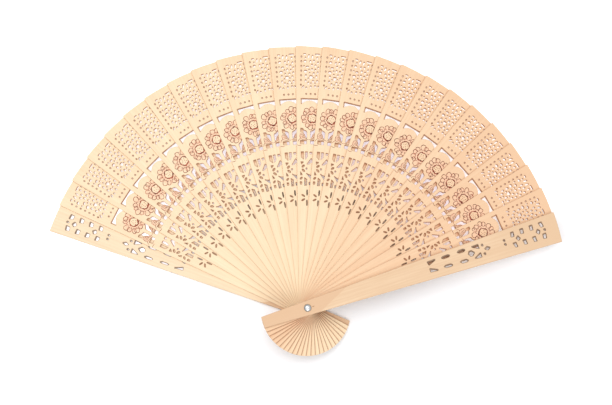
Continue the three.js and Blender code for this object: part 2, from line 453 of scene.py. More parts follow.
class FanFinish(bpy.types.PropertyGroup):
    """Colours of wood, ink and metal"""

    stick_light: colour("Stick light", "Pale tone of the sticks' wood", 0.925, 0.745, 0.50)
    # The dark tones give darker streaks, and also the painted shade on the later blades of the stack
    stick_dark: colour("Stick dark", "Darker streaks of the sticks' wood", 0.81, 0.53, 0.325)
    guard_light: colour("Guard light", "Pale tone of the guards' wood", 0.925, 0.73, 0.50)
    guard_dark: colour("Guard dark", "Darker streaks of the guards' wood", 0.745, 0.51, 0.315)
    handle_tone: colour("Handle tone", "Pinker wood towards the handle of a guard", 0.72, 0.47, 0.285)
    # Cut tones: brown cut wood and painted shadow round the openings; the cut tone also paints the shade strip
    # along the flanks
    cut_and_shade_tone: colour("Cut tone", "Browned wood of the cut edges", 0.30, 0.105, 0.038)
    guard_cut_and_shade: colour("Guard cut", "Browned cut edges of the guards", 0.12, 0.055, 0.032)
    # Painted deep shade in the cuts of the inmost petals
    petal_deep_shade: colour("Petal cut", "Browned cut edges of the inmost petals", 0.05, 0.018, 0.008)
    fleck_tone: colour("Fleck tone", "Pores of the wood", 0.62, 0.38, 0.19)
    # Painted shade in crevices, between blades and under the next stick
    painted_shade_tone: colour("Grime tone", "Wood in crevices and under the next stick", 0.62, 0.25, 0.115)
    painted_shade_reach: length("Grime reach", "How near other wood must be for grime to gather", 1.5)
    blush_tone: colour("Blush tone", "Tint inside the printed flower and leaves", 0.86, 0.52, 0.345)
    ink_dark: colour("Ink dark", "Ink where it lies thick", 0.11, 0.013, 0.007)
    ink_thin: colour("Ink thin", "Ink where it lies thin", 0.47, 0.13, 0.072)
    steel_bright: colour("Steel bright", "Polished rivet", 0.80, 0.80, 0.78)
    steel_dull: colour("Steel dull", "Tarnish round the rim of the rivet's head", 0.22, 0.21, 0.18)


class FanStage(bpy.types.PropertyGroup):
    """Floor, light and camera"""

    floor_width: number("Floor width", "Width of the floor", 6, "LENGTH")
    floor_drop: length("Floor drop", "From the back of the fan down to the floor", 0.05)
    floor_tone: colour("Floor tone", "Pale floor", 0.96, 0.96, 0.965)
    glow_round: colour("Glow round", "Floor beside the fan", 0.02, 0.03, 0.035)
    glow_tip: colour("Glow tip", "Floor beside the tips of the guards", 0.25, 0.26, 0.27)
    glow_left: colour("Glow left", "Floor under the left of the fan", 0.95, 0.92, 0.94)
    glow_inner: colour("Glow inner", "Floor under the fret's inner end", 0.40, 0.33, 0.34)
    glow_fret: colour("Glow fret", "Floor under the fret's outer end", 0.62, 0.47, 0.46)
    glow_leaf: colour("Glow leaf", "Floor under the leaves", 0.68, 0.61, 0.68)
    glow_window: colour("Glow window", "Floor under the windows", 0.86, 0.82, 0.86)
    glow_net: colour("Glow net", "Floor under the net", 0.82, 0.75, 0.74)
    sky_high: colour("Sky high", "Light from overhead", 0.93, 0.95, 1.0)
    sky_low: colour("Sky low", "Light from the horizon", 0.40, 0.41, 0.43)
    sky_strength: number("Sky strength", "Strength of the surrounding light", 0.84)
    key_place: location("Key place", "Where the main light hangs", -0.3, 0.45, 1.65)
    key_width: number("Key width", "Width of the main light", 1.5, "LENGTH")
    key_power: number("Key power", "Power of the main light", 12, "POWER")
    fill_place: location("Fill place", "Where the fill light hangs", 0.1, -1.1, 1.2)
    fill_width: number("Fill width", "Width of the fill light", 1.2, "LENGTH")
    fill_power: number("Fill power", "Power of the fill light", 6, "POWER")
    light_tone: colour("Light tone", "Colour of the two lights", 1.0, 0.985, 0.96)
    camera_place: location("Camera place", "Where the camera stands", -0.10514, -0.07279, 1.17494)
    camera_turn: FloatVectorProperty(
        name="Camera turn", description="Rotation of the camera", subtype="EULER", unit="ROTATION",
        default=(math.radians(6.8101), math.radians(-5.219), math.radians(1.0015)),
    )
    camera_lens: number("Camera lens", "Focal length in millimetres", 107.461)
    camera_frame: number("Camera frame", "Width of the frame behind the lens in millimetres", 36)


def oval(across, along, width, height, lean, steps=14):
    """Ellipse about a centre: half the width times the cosine and half the height times the sine of a turn,
    leaned to the right by degrees."""
    turn = np.linspace(0, 2 * np.pi, steps, endpoint=False)
    ring = np.stack([width / 2 * np.cos(turn), height / 2 * np.sin(turn)], 1)
    lean = math.radians(lean)
    spin = np.array([[math.cos(lean), -math.sin(lean)], [math.sin(lean), math.cos(lean)]])
    return ring @ spin + (across, along)


def rounded(corners, radius, steps=4):
    """Polygon with each corner drawn as a quadratic curve between points that lie a radius away on its two
    sides, or nearer on a short side."""
    corner = np.asarray(corners, float)
    sides = [np.roll(corner, 1, 0) - corner, np.roll(corner, -1, 0) - corner]
    reach = [np.linalg.norm(side, axis=1, keepdims=True) for side in sides]
    start, end = (
        corner + side / far * np.minimum(radius, MOST_OF_SIDE * far) for side, far in zip(sides, reach)
    )
    share = np.linspace(0, 1, steps)[:, None, None]
    curve = (1 - share) ** 2 * start + 2 * share * (1 - share) * corner + share**2 * end
    return curve.transpose(1, 0, 2).reshape(-1, 2)


def mirrored(loops, axis):
    """The loops, and their mirror images about a line along the blade."""
    return [*loops, *((2 * axis, 0) + loop * (-1, 1) for loop in loops)]


def taper(blades):
    """Half the width of a blade at the rivet in millimetres, and how much a flank moves out for each one
    along the blade."""
    return blades.pivot_width / 2 / MM, (blades.rim_width - blades.pivot_width) / 2 / blades.tip_radius


def end_arc(radius, side, half_width, flank, steps=12):
    """Arc about the rivet between the two tapered flanks, beyond the rivet if side is 1 and behind it
    if -1."""
    slope = 1 + flank**2
    height = (side * math.sqrt(slope * radius**2 - half_width**2) - half_width * flank) / slope
    reach = math.atan2(half_width + flank * height, side * height)
    turn = np.linspace(-reach, reach, steps)
    return side * radius * np.stack([-np.sin(turn), np.cos(turn)], 1)


def blade_outline(blades):
    """Tapered blade: flanks that widen evenly outwards, between arcs about the rivet. The tip falls to the
    right."""
    half_width, flank = taper(blades)
    rim = end_arc(blades.tip_radius / MM, 1, half_width, flank)
    rim[:, 1] -= blades.tip_lean * rim[:, 0]
    tail = end_arc(blades.tail_radius / MM, -1, half_width, flank)
    return rounded(np.concatenate([rim, tail]), blades.corner_round / MM)


def net_openings(piercing, corner):
    """Outer net: bars, a heart and ovals, the ovals cut to a share of their places in the pattern."""
    fill = piercing.net_fill
    bars = [rounded(bar, corner) for bar in NET_BARS]
    ovals = [
        oval(across, along, fill * width, fill * height, lean)
        for across, along, width, height, lean in NET_OVALS
    ]
    return [loop + (piercing.net_axis / MM, 0) for loop in (*bars, *ovals)]


def border_openings(piercing):
    """Border of the net: a column of small holes down each side, and three dots in a row below."""
    left = -piercing.border_across / MM
    heights = (piercing.border_top - piercing.border_pitch * np.arange(piercing.border_holes)) / MM
    width, height = piercing.border_width / MM, piercing.border_height / MM
    column = [oval(left, along, width, height, 0) for along in heights]
    dot = piercing.dot_width / MM
    places = piercing.dot_pitch / MM * np.arange(-1, 2)
    dots = [oval(across, piercing.dot_along / MM, dot, dot, 0) for across in places]
    return [loop + (piercing.net_axis / MM, 0) for loop in (*mirrored(column, 0), *dots)]


def window_opening(piercing, corner, steps=9):
    """Window: a straight upper edge, and a lower edge that rises as a parabola between its corners."""
    half = piercing.window_width / 2 / MM
    share = np.linspace(-1, 1, steps)
    arch = piercing.window_low / MM + piercing.window_rise / MM * (1 - share**2)
    lower = np.stack([half * share, arch], 1)
    upper = np.array([[half, piercing.window_high / MM], [-half, piercing.window_high / MM]])
    return rounded(np.concatenate([lower, upper]), corner)


def petal_openings(piercing):
    """Inmost flower: ovals set round a centre at equal angles, pointing at it, shorter at the sides by a
    share of the angle's sine."""
    inner, outer = piercing.petal_inner / MM, piercing.petal_outer / MM
    openings = []
    for step in range(piercing.petal_holes):
        lean = 360 * step / piercing.petal_holes
        turn = math.radians(lean)
        reach = (outer - inner) * (1 - SIDE_PETAL_LOSS * abs(math.sin(turn)))
        across = piercing.petal_axis / MM + (inner + reach / 2) * math.sin(turn)
        along = piercing.petal_along / MM + (inner + reach / 2) * math.cos(turn)
        openings.append(oval(across, along, piercing.petal_width / MM, reach, lean))
    return openings


def pivot_opening(blades):
    """Round hole that turns on the rivet."""
    width = 2 * blades.pivot_hole / MM
    return oval(0, 0, width, width, 0, steps=32)


def stick_openings(blades, piercing):
    """Every opening of a stick, each with the reach of its brown cut edge and painted shadow, and the share of
    that reach that goes all round."""
    corner = blades.opening_round / MM
    leaves = [rounded(opening, corner) for opening in LEAF_OPENINGS]
    fret = [rounded(opening, corner) for opening in FRET_OPENINGS]
    groups = (
        (net_openings(piercing, corner), blades.fine_rim, ALL_ROUND["net"]),
        (border_openings(piercing), blades.fine_rim, ALL_ROUND["border"]),
        ([window_opening(piercing, corner)], blades.window_rim, ALL_ROUND["window"]),
        (mirrored(leaves, LEAF_AXIS), blades.bold_rim, ALL_ROUND["leaf"]),
        (fret, blades.bold_rim, ALL_ROUND["fret"]),
        ([oval(*slit) for slit in FRET_SLITS], blades.fine_rim, ALL_ROUND["slit"]),
        (petal_openings(piercing), blades.fine_rim, ALL_ROUND["petal"]),
        ([pivot_opening(blades)], blades.fine_rim, ALL_ROUND["pivot"]),
    )
    return [(loop, rim / MM, evenly) for loops, rim, evenly in groups for loop in loops]


def guard_openings(blades):
    """Every opening of a guard, cut to a share of its place, with the reach of its brown cut edge and painted
    shadow and the share of that reach that goes all round."""
    corner = blades.opening_round / MM
    sides = [rounded(opening, corner) for opening in GUARD_SIDES]
    sides += [oval(*dot) for dot in GUARD_SIDE_DOTS]
    centre = [rounded(opening, corner) for opening in GUARD_CENTRE]
    places = [*mirrored(sides, GUARD_AXIS), *centre, oval(*GUARD_CENTRE_DOT)]
    middles = [loop.mean(0) for loop in places]
    loops = [middle + blades.guard_fill * (loop - middle) for loop, middle in zip(places, middles)]
    loops.append(pivot_opening(blades))
    return [(loop, blades.guard_rim / MM, ALL_ROUND["guard"]) for loop in loops]


def wound(loop, way):
    """The loop turned so that its signed area has the sign of way."""
    after = np.roll(loop, -1, 0)
    area = np.sum(loop[:, 0] * after[:, 1] - loop[:, 1] * after[:, 0])
    return loop if area * way > 0 else loop[::-1]


def inside(points, start, end):
    """Whether each point lies inside the loops, by counting the sides that a ray to the right of it
    crosses."""
    x, y = points[:, None, 0], points[:, None, 1]
    spans = (start[:, 1] > y) != (end[:, 1] > y)
    rise = np.where(end[:, 1] == start[:, 1], 1, end[:, 1] - start[:, 1])
    meets = start[:, 0] + (y - start[:, 1]) * (end[:, 0] - start[:, 0]) / rise
    return (spans & (x < meets)).sum(1) % 2 == 1


def filled_face(ring, after):
    """Triangles, all turned the same way, between an outline and its openings, by a constrained Delaunay
    triangulation."""
    sides = list(zip(range(len(ring)), after.tolist()))
    filled = delaunay_2d_cdt(ring.tolist(), sides, [], 0, MERGE_LIMIT)
    if len(filled[0]) != len(ring):
        raise RuntimeError("two openings of a blade meet")
    face = np.array(filled[2])
    face = face[inside(ring[face].mean(1), ring, ring[after])]
    first, second = (ring[face[:, corner]] - ring[face[:, 0]] for corner in (1, 2))
    turned = first[:, 0] * second[:, 1] < first[:, 1] * second[:, 0]
    face[turned] = face[turned][:, ::-1]
    return face


def blade_solid(outline, openings, thickness, edge, shadow_side):
    """Flat pierced blade. A chamfered edge profile of insets and heights is carried along the outline and
    every opening, each point moving along the mitre of its two sides, and both faces are filled. Each opening
    comes with the reach of its darkening and the share of it that goes all round as a brown cut edge: the rest
    lies as painted shadow on the shadow side. Returns points, triangles, quads and, for each point, how far it is
    darkened."""
    loops = [wound(outline, 1), *(wound(opening, -1) for opening, rim, evenly in openings)]
    ring = np.concatenate(loops)
    starts = np.cumsum([0, *(len(loop) for loop in loops)])
    spans = list(zip(starts[:-1], starts[1:]))
    after = np.concatenate([np.roll(np.arange(low, high), -1) for low, high in spans])
    before = np.argsort(after)
    way = ring[after] - ring
    way /= np.linalg.norm(way, axis=1, keepdims=True)
    normal = np.stack([-way[:, 1], way[:, 0]], 1)
    mitre = normal + normal[before]
    mitre /= np.maximum(SHARPEST_MITRE, 1 + np.sum(normal * normal[before], 1, keepdims=True))
    evenly = np.repeat([1, *(evenly for opening, rim, evenly in openings)], np.diff(starts))
    # Painted shadow: each rim widens on the opening's shadow side
    browned_and_shaded = evenly + (1 - evenly) * (mitre @ shadow_side).clip(0, 1)
    rim = np.repeat([edge, *(rim for opening, rim, evenly in openings)], np.diff(starts)) * browned_and_shaded
    inset = np.zeros((6, len(ring)))
    inset[[0, 5]] = edge + rim
    inset[[1, 4]] = edge
    height = np.array([thickness, thickness, thickness - edge, edge, 0, 0])
    points = np.empty((len(inset), len(ring), 3))
    points[..., :2] = ring + inset[..., None] * mitre
    points[..., 2] = height[:, None]
    face = filled_face(points[0, :, :2], after)
    triangles = np.concatenate([face, face[:, ::-1] + (len(inset) - 1) * len(ring)])
    row = np.arange(len(inset) - 1)[:, None] * len(ring)
    here = np.arange(len(ring))
    walls = np.stack([row + here, row + len(ring) + here, row + len(ring) + after, row + after], -1)
    browned_and_shaded[: len(outline)] *= OUTLINE_BROWN_AND_SHADE
    cut = np.outer([0, 1, 1, 1, 1, 0], browned_and_shaded)
    return points.reshape(-1, 3), triangles, walls.reshape(-1, 4), cut.ravel()


def stroke(path, width, depth, closed=False):
    """Ink line: a low profile with a flat top carried along a path. Each point of the path gives four points,
    at shares of the half width along the path's normal and at the ink's foot or top. An open line thins at
    both ends by the root of a sine."""
    path = np.asarray(path, float)
    way = np.roll(path, -1, 0) - np.roll(path, 1, 0) if closed else np.gradient(path, axis=0)
    way /= np.linalg.norm(way, axis=1, keepdims=True)
    normal = np.stack([-way[:, 1], way[:, 0]], 1)
    half = np.broadcast_to(width, len(path)) / 2
    if not closed:
        swell = np.sqrt(np.sin(np.pi * np.linspace(0, 1, len(path))).clip(0))
        half = half * (INK_END + (1 - INK_END) * swell)
    reach = np.array([-1, -INK_TOP, INK_TOP, 1])
    points = np.empty((len(path), len(reach), 3))
    points[..., :2] = path[:, None] + normal[:, None] * (half[:, None] * reach)[..., None]
    points[..., 2] = np.array([-INK_SUNK, 1, 1, -INK_SUNK]) * depth
    here = np.arange(len(path) if closed else len(path) - 1)[:, None] * len(reach)
    there = (here + len(reach)) % (len(path) * len(reach))
    side = np.arange(len(reach))
    other = np.roll(side, -1)
    quads = np.stack([here + side, here + other, there + other, there + side], -1).reshape(-1, 4)
    ends = np.array([side[::-1], side + (len(path) - 1) * len(reach)])
    return points.reshape(-1, 3), quads if closed else np.concatenate([quads, ends])


def smooth_path(points, steps=6):
    """Curve through given points: a Catmull-Rom spline with its end points doubled."""
    knot = np.asarray(points, float)
    knot = np.concatenate([knot[:1], knot, knot[-1:]])
    share = np.linspace(0, 1, steps, endpoint=False)[None, :, None]
    a, b, c, d = (knot[i : len(knot) - 3 + i, None] for i in range(4))
    curve = b + share * (c - a) / 2 + share**2 * (a - 2.5 * b + 2 * c - d / 2)
    curve = curve + share**3 * (1.5 * (b - c) + (d - a) / 2)
    return np.concatenate([curve.reshape(-1, 2), knot[-1:]])


def compass(turn):
    """Unit vectors that point in the directions of a turn."""
    return np.stack([np.cos(turn), np.sin(turn)], -1)


def uneven(kind, step, serial):
    """A sine of a petal's step and a stick's number, times an amount."""
    amount, by_step, by_serial = UNEVEN[kind]
    return amount * math.sin(by_step * step + by_serial * serial)


def petal_turn(print_, step, serial):
    """Direction of a petal: equal angles from the first one, a little uneven."""
    return FIRST_PETAL - step * 2 * np.pi / print_.petals + uneven("turn", step, serial)


def petal_path(print_, step, serial, steps=13):
    """Outline of one petal: out from near the ring, round its end as most of a circle, and back. Petals
    differ by sines of their step and of the stick's number."""
    turn = petal_turn(print_, step, serial)
    radius = print_.petal_radius / MM * (1 + uneven("size", step, serial))
    centre = print_.petal_centre / MM * (1 + uneven("reach", step, serial))
    foot = print_.disc_radius / MM + PETAL_FOOT
    swing = np.linspace(-PETAL_SWING, PETAL_SWING, steps)
    out = np.concatenate([[foot], centre + radius * np.cos(swing), [foot]])
    aside = radius * np.concatenate([[-FOOT_SHARE], np.sin(swing), [FOOT_SHARE]])
    across = out * math.cos(turn) - aside * math.sin(turn)
    along = out * math.sin(turn) + aside * math.cos(turn)
    return np.stack([across, along], 1)


def inner_path(print_, step, serial, steps=9):
    """Round end of a petal of the inner row: an arc about a point just outside the ring, between two
    petals."""
    turn = petal_turn(print_, step + 0.5, serial)
    middle = (print_.disc_radius / MM + INNER_OUT) * compass(turn)
    return middle + INNER_RADIUS * compass(turn + np.linspace(-INNER_SWING, INNER_SWING, steps))


def ring_stroke(print_, serial, steps=78):
    """Ring round the seeds: its radius waves with the petals and four times round, and its line is heavier
    below and swells five times round."""
    turn = np.linspace(0, 2 * np.pi, steps, endpoint=False)
    lobes = RING_LOBES * np.cos(print_.petals * turn + serial)
    drift = RING_DRIFT * np.cos(4 * turn + 2 * serial)
    below = RING_BELOW * np.clip(-np.sin(turn - 0.3), 0, 1)
    heavy = RING_LINE + below + RING_SWELL * np.sin(5 * turn + serial)
    path = (print_.disc_radius / MM + lobes + drift)[:, None] * compass(turn)
    return stroke(path, print_.line_width / MM * heavy, print_.ink_depth / MM, closed=True)


def seed_path(print_, seed, serial, steps=5):
    """Short slanting mark, set by the golden angle and the root of its number."""
    out = SEED_REACH * print_.disc_radius / MM * math.sqrt(seed / print_.seeds)
    spot = out * compass(GOLDEN_ANGLE * seed + serial)
    return spot + np.linspace(-SEED_HALF, SEED_HALF, steps)[:, None] * SEED_SLANT


def flower_strokes(print_, serial):
    """Petals, the round ends of a row inside them, the ring round the seeds, and the seeds."""
    width, depth = print_.line_width / MM, print_.ink_depth / MM
    strokes = []
    for step in range(print_.petals):
        strokes.append(stroke(petal_path(print_, step, serial), width, depth))
        strokes.append(stroke(inner_path(print_, step, serial), INNER_LINE * width, depth))
    strokes.append(ring_stroke(print_, serial))
    for seed in range(1, print_.seeds + 1):
        strokes.append(stroke(seed_path(print_, seed, serial), SEED_LINE * width, depth))
    points, quads = joined(strokes)
    points[:, :2] += np.array([print_.flower_across, print_.flower_along]) / MM
    return points, quads


def leaf_strokes(print_):
    """Outlines and veins of the two leaves, and the dash below them."""
    width, depth = print_.leaf_line / MM, print_.ink_depth / MM
    left = [smooth_path(points) for points in LEAF_STROKES]
    paths = [*mirrored(left, LEAF_AXIS), smooth_path(DASH_STROKE)]
    return joined([stroke(path, width, depth) for path in paths])


def unsteady(points, serial):
    """Points moved aside by sines of their own place, and the whole print by sines of the stick's number, as
    prints made by hand differ."""
    moved = points.copy()
    shift = PRINT_SHIFT * np.sin([1.9 * serial, 2.6 * serial])
    moved[:, 0] += PRINT_SHAKE * np.sin(2.3 * points[:, 1] + serial) + shift[0]
    moved[:, 1] += PRINT_SHAKE * np.sin(2.7 * points[:, 0] + 2 * serial) + shift[1]
    return moved


def joined(solids):
    """Several (points, quads) solids as one."""
    starts = np.cumsum([0, *(len(points) for points, quads in solids)])
    points = np.concatenate([points for points, quads in solids])
    return points, np.concatenate([quads + start for (_, quads), start in zip(solids, starts)])


def rivet_solid(rivet, steps=14):
    """Turned rivet: a profile of radii and heights carried round the axis. The head is an arc of a sphere."""
    head, rise, lip = rivet.head_radius, rivet.head_height, rivet.lip
    seat = RIVET_HIGH.z - rise
    ball = (head**2 + rise**2) / 2 / rise
    turn = np.linspace(math.asin(head / ball), 0, steps, endpoint=False)
    dome = np.stack([ball * np.sin(turn), RIVET_HIGH.z - ball + ball * np.cos(turn)], 1)
    foot = [
        (rivet.flare_radius - lip, RIVET_LOW.z),
        (rivet.flare_radius, RIVET_LOW.z + lip),
        (rivet.shank_radius, RIVET_LOW.z + rivet.flare_depth),
        (rivet.shank_radius, seat),
        (head - 2 * lip, seat),
        (head - lip, seat + 0.3 * lip),
    ]
    profile = np.concatenate([foot, dome[1:]])
    around = np.linspace(0, 2 * np.pi, rivet.sides, endpoint=False)
    points = np.empty((len(profile), rivet.sides, 3))
    points[..., :2] = profile[:, None, :1] * compass(around)
    points[..., 2] = profile[:, 1:]
    poles = [(0, 0, RIVET_LOW.z), (0, 0, RIVET_HIGH.z)]
    here = np.arange(rivet.sides)
    after = np.roll(here, -1)
    row = np.arange(len(profile) - 1)[:, None] * rivet.sides
    quads = np.stack([row + here, row + after, row + rivet.sides + after, row + rivet.sides + here], -1)
    base, top = len(profile) * rivet.sides, len(profile) * rivet.sides + 1
    last = (len(profile) - 1) * rivet.sides
    fans = [
        np.stack([after, here, np.full(rivet.sides, base)], 1),
        np.stack([last + here, last + after, np.full(rivet.sides, top)], 1),
    ]
    return np.concatenate([points.reshape(-1, 3), poles]), np.concatenate(fans), quads.reshape(-1, 4)


def new_piece(name, points, faces, material):
    """A mesh object at the origin with its place in its points, which are in metres."""
    mesh = bpy.data.meshes.new(name)
    mesh.from_pydata(points.tolist(), [], [face for block in faces for face in block.tolist()])
    mesh.materials.append(material)
    mesh.update()
    piece = bpy.data.objects.new(name, mesh)
    bpy.context.scene.collection.objects.link(piece)
    return piece


def on_blade(points, node, lift=0.0):
    """Points of a blade, in millimetres, turned to the node's direction and set on the node, in metres."""
    turn = math.radians(TURNS["front_guard"] / 2 - TURNS.get(node, 0))
    spin = np.array([[math.cos(turn), math.sin(turn), 0], [-math.sin(turn), math.cos(turn), 0], [0, 0, 1]])
    return points @ spin * MM + (0, 0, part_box(node)[0].z + lift)


def tell_place(piece, points, serial, cut):
    """Gives the wood each point's place on its blade, with the blade's number for a grain of its own, and
    how far it is darkened by brown cut and painted shadow."""
    place = np.concatenate([points[:, :2], np.full((len(points), 1), SERIAL_STEP * serial)], 1)
    layer = piece.data.attributes.new(PLACE, "FLOAT_VECTOR", "POINT")
    layer.data.foreach_set("vector", place.astype(np.float32).ravel())
    layer = piece.data.attributes.new(CUT, "FLOAT", "POINT")
    layer.data.foreach_set("value", cut.astype(np.float32))


def dress_blade(node, solid, material):
    """Puts a pierced blade in the place of its CAD node."""
    points, triangles, quads, cut = solid
    piece = new_piece(f"{node}_blade", on_blade(points, node), [triangles, quads], material)
    tell_place(piece, points, BLADES.index(node), cut)
    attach(piece, BODIES[node])
    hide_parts(node)


def thickness_of(node):
    """Thickness of a blade in millimetres."""
    low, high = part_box(node)
    return (high.z - low.z) / MM


def give(tree, node, inputs):
    """Sets a node's inputs to values, or links them to other nodes' outputs."""
    for name, value in inputs.items():
        if isinstance(value, bpy.types.NodeSocket):
            tree.links.new(value, node.inputs[name])
        else:
            node.inputs[name].default_value = value


def add(tree, kind, inputs=None, **settings):
    """Outputs of a new node of the tree, with its settings and inputs."""
    node = tree.nodes.new(kind)
    for name, value in settings.items():
        setattr(node, name, value)
    give(tree, node, inputs or {})
    return node.outputs


def sum_up(tree, operation, first, second=0.0, third=0.0):
    """Output of a Math node."""
    return add(tree, "ShaderNodeMath", {0: first, 1: second, 2: third}, operation=operation)[0]


def times(tree, product, *factors):
    """Product of a value and its factors."""
    for factor in factors:
        product = sum_up(tree, "MULTIPLY", product, factor)
    return product


def spread(tree, value, low, high, to_low=0.0, to_high=1.0):
    """Output of a Map Range node that clamps."""
    inputs = {"Value": value, "From Min": low, "From Max": high, "To Min": to_low, "To Max": to_high}
    return add(tree, "ShaderNodeMapRange", inputs)[0]


def in_stack(tree, parts, low, high, to_low=0.0, to_high=1.0):
    """A value that changes from blade to blade, between two shares of the way up the stack."""
    return spread(tree, parts["Z"], low * SERIAL_SPAN, high * SERIAL_SPAN, to_low, to_high)


def blend(tree, share, first, second):
    """Output of a colour Mix node."""
    return add(tree, "ShaderNodeMix", {0: share, 6: first, 7: second}, data_type="RGBA")[2]


def streaks(tree, place, scale, detail=3.0, distortion=0.0):
    """Output of a noise that is stretched by its scale across, along and between blades."""
    stretched = add(tree, "ShaderNodeMapping", {"Vector": place, "Scale": scale})[0]
    inputs = {"Vector": stretched, "Scale": 1.0, "Detail": detail, "Distortion": distortion}
    return add(tree, "ShaderNodeTexNoise", inputs)[0]


def split(tree, place):
    """The three parts of a place."""
    return add(tree, "ShaderNodeSeparateXYZ", {0: place})


def from_point(tree, place, point=(0.0, 0.0), scale=(1.0, 1.0)):
    """Distance of a place from a point, seen along the rivet, in units of the scale across and along."""
    offset = tuple(-value * factor for value, factor in zip(point, scale))
    inputs = {"Vector": place, "Location": (*offset, 0), "Scale": (*scale, 0)}
    moved = add(tree, "ShaderNodeMapping", inputs)[0]
    return add(tree, "ShaderNodeVectorMath", {0: moved}, operation="LENGTH")["Value"]


def relief(tree, height, strength, depth):
    """Normal of a fine relief, whose depth is in millimetres."""
    return add(tree, "ShaderNodeBump", {"Height": height, "Strength": strength, "Distance": depth * MM})[0]


def new_group(name, inputs, outputs):
    """An empty shader node group with its sockets, its input sockets and its output node."""
    group = bpy.data.node_groups.new(name, "ShaderNodeTree")
    for way, sockets in (("INPUT", inputs), ("OUTPUT", outputs)):
        for socket, kind in sockets.items():
            group.interface.new_socket(name=socket, in_out=way, socket_type=f"NodeSocket{kind}")
    return group, group.nodes.new("NodeGroupInput").outputs, group.nodes.new("NodeGroupOutput")


def wood_grain():
    """Grain of sawn pale wood: long streaks, finer lines, broad changes of tone, ring figure and short
    pores."""
    if "Wood Grain" in bpy.data.node_groups:
        return bpy.data.node_groups["Wood Grain"]
    sockets = {"Tone": "Float", "Pores": "Float", "Height": "Float"}
    group, given, made = new_group("Wood Grain", {"Place": "Vector", "Figure": "Float"}, sockets)
    place = given["Place"]
    long = streaks(group, place, (0.9, 0.03, 1), 4.0, 0.3)
    fine = streaks(group, place, (4.2, 0.09, 1), 3.0)
    broad = streaks(group, place, (0.12, 0.018, 1), 2.0)
    bent = add(group, "ShaderNodeMapping", {"Vector": place, "Scale": (0.09, 0.006, 1)})[0]
    inputs = {"Vector": bent, "Scale": 1.6, "Distortion": 5.0, "Detail": 2.0}
    rings = add(group, "ShaderNodeTexWave", inputs)["Fac"]
    pores = spread(group, streaks(group, place, (6.5, 0.4, 1), 2.0), 0.64, 0.76)
    tone = sum_up(group, "MULTIPLY_ADD", long, 0.5, times(group, fine, 0.2))
    tone = sum_up(group, "MULTIPLY_ADD", broad, 0.5, tone)
    tone = sum_up(group, "MULTIPLY_ADD", sum_up(group, "SUBTRACT", rings, 0.5), given["Figure"], tone)
    height = sum_up(group, "SUBTRACT", sum_up(group, "ADD", long, fine), pores)
    give(group, made, {"Tone": spread(group, tone, 0.38, 0.82), "Pores": pores, "Height": height})
    return group


def cut_edge():
    """Darkening of cut edges, brown cut wood and painted shadow: the mesh's cut mask, broken up by soft blotches.
    """
    if "Cut Edge" in bpy.data.node_groups:
        return bpy.data.node_groups["Cut Edge"]
    group, given, made = new_group("Cut Edge", {"Place": "Vector", "Cut": "Float"}, {"Browned": "Float"})
    blotch = spread(group, streaks(group, given["Place"], (0.5, 0.35, 1), 3.0), 0.3, 0.7, 0.74, 1.0)
    give(group, made, {"Browned": times(group, spread(group, given["Cut"], 0.03, 0.28), blotch)})
    return group


def new_material(name):
    """A node material, its tree and its Principled BSDF."""
    material = bpy.data.materials.new(name)
    material.use_nodes = True
    tree = material.node_tree
    return material, tree, tree.nodes["Principled BSDF"]


def rgba(tone):
    """A colour property as a socket's four values."""
    return (*tone, 1.0)


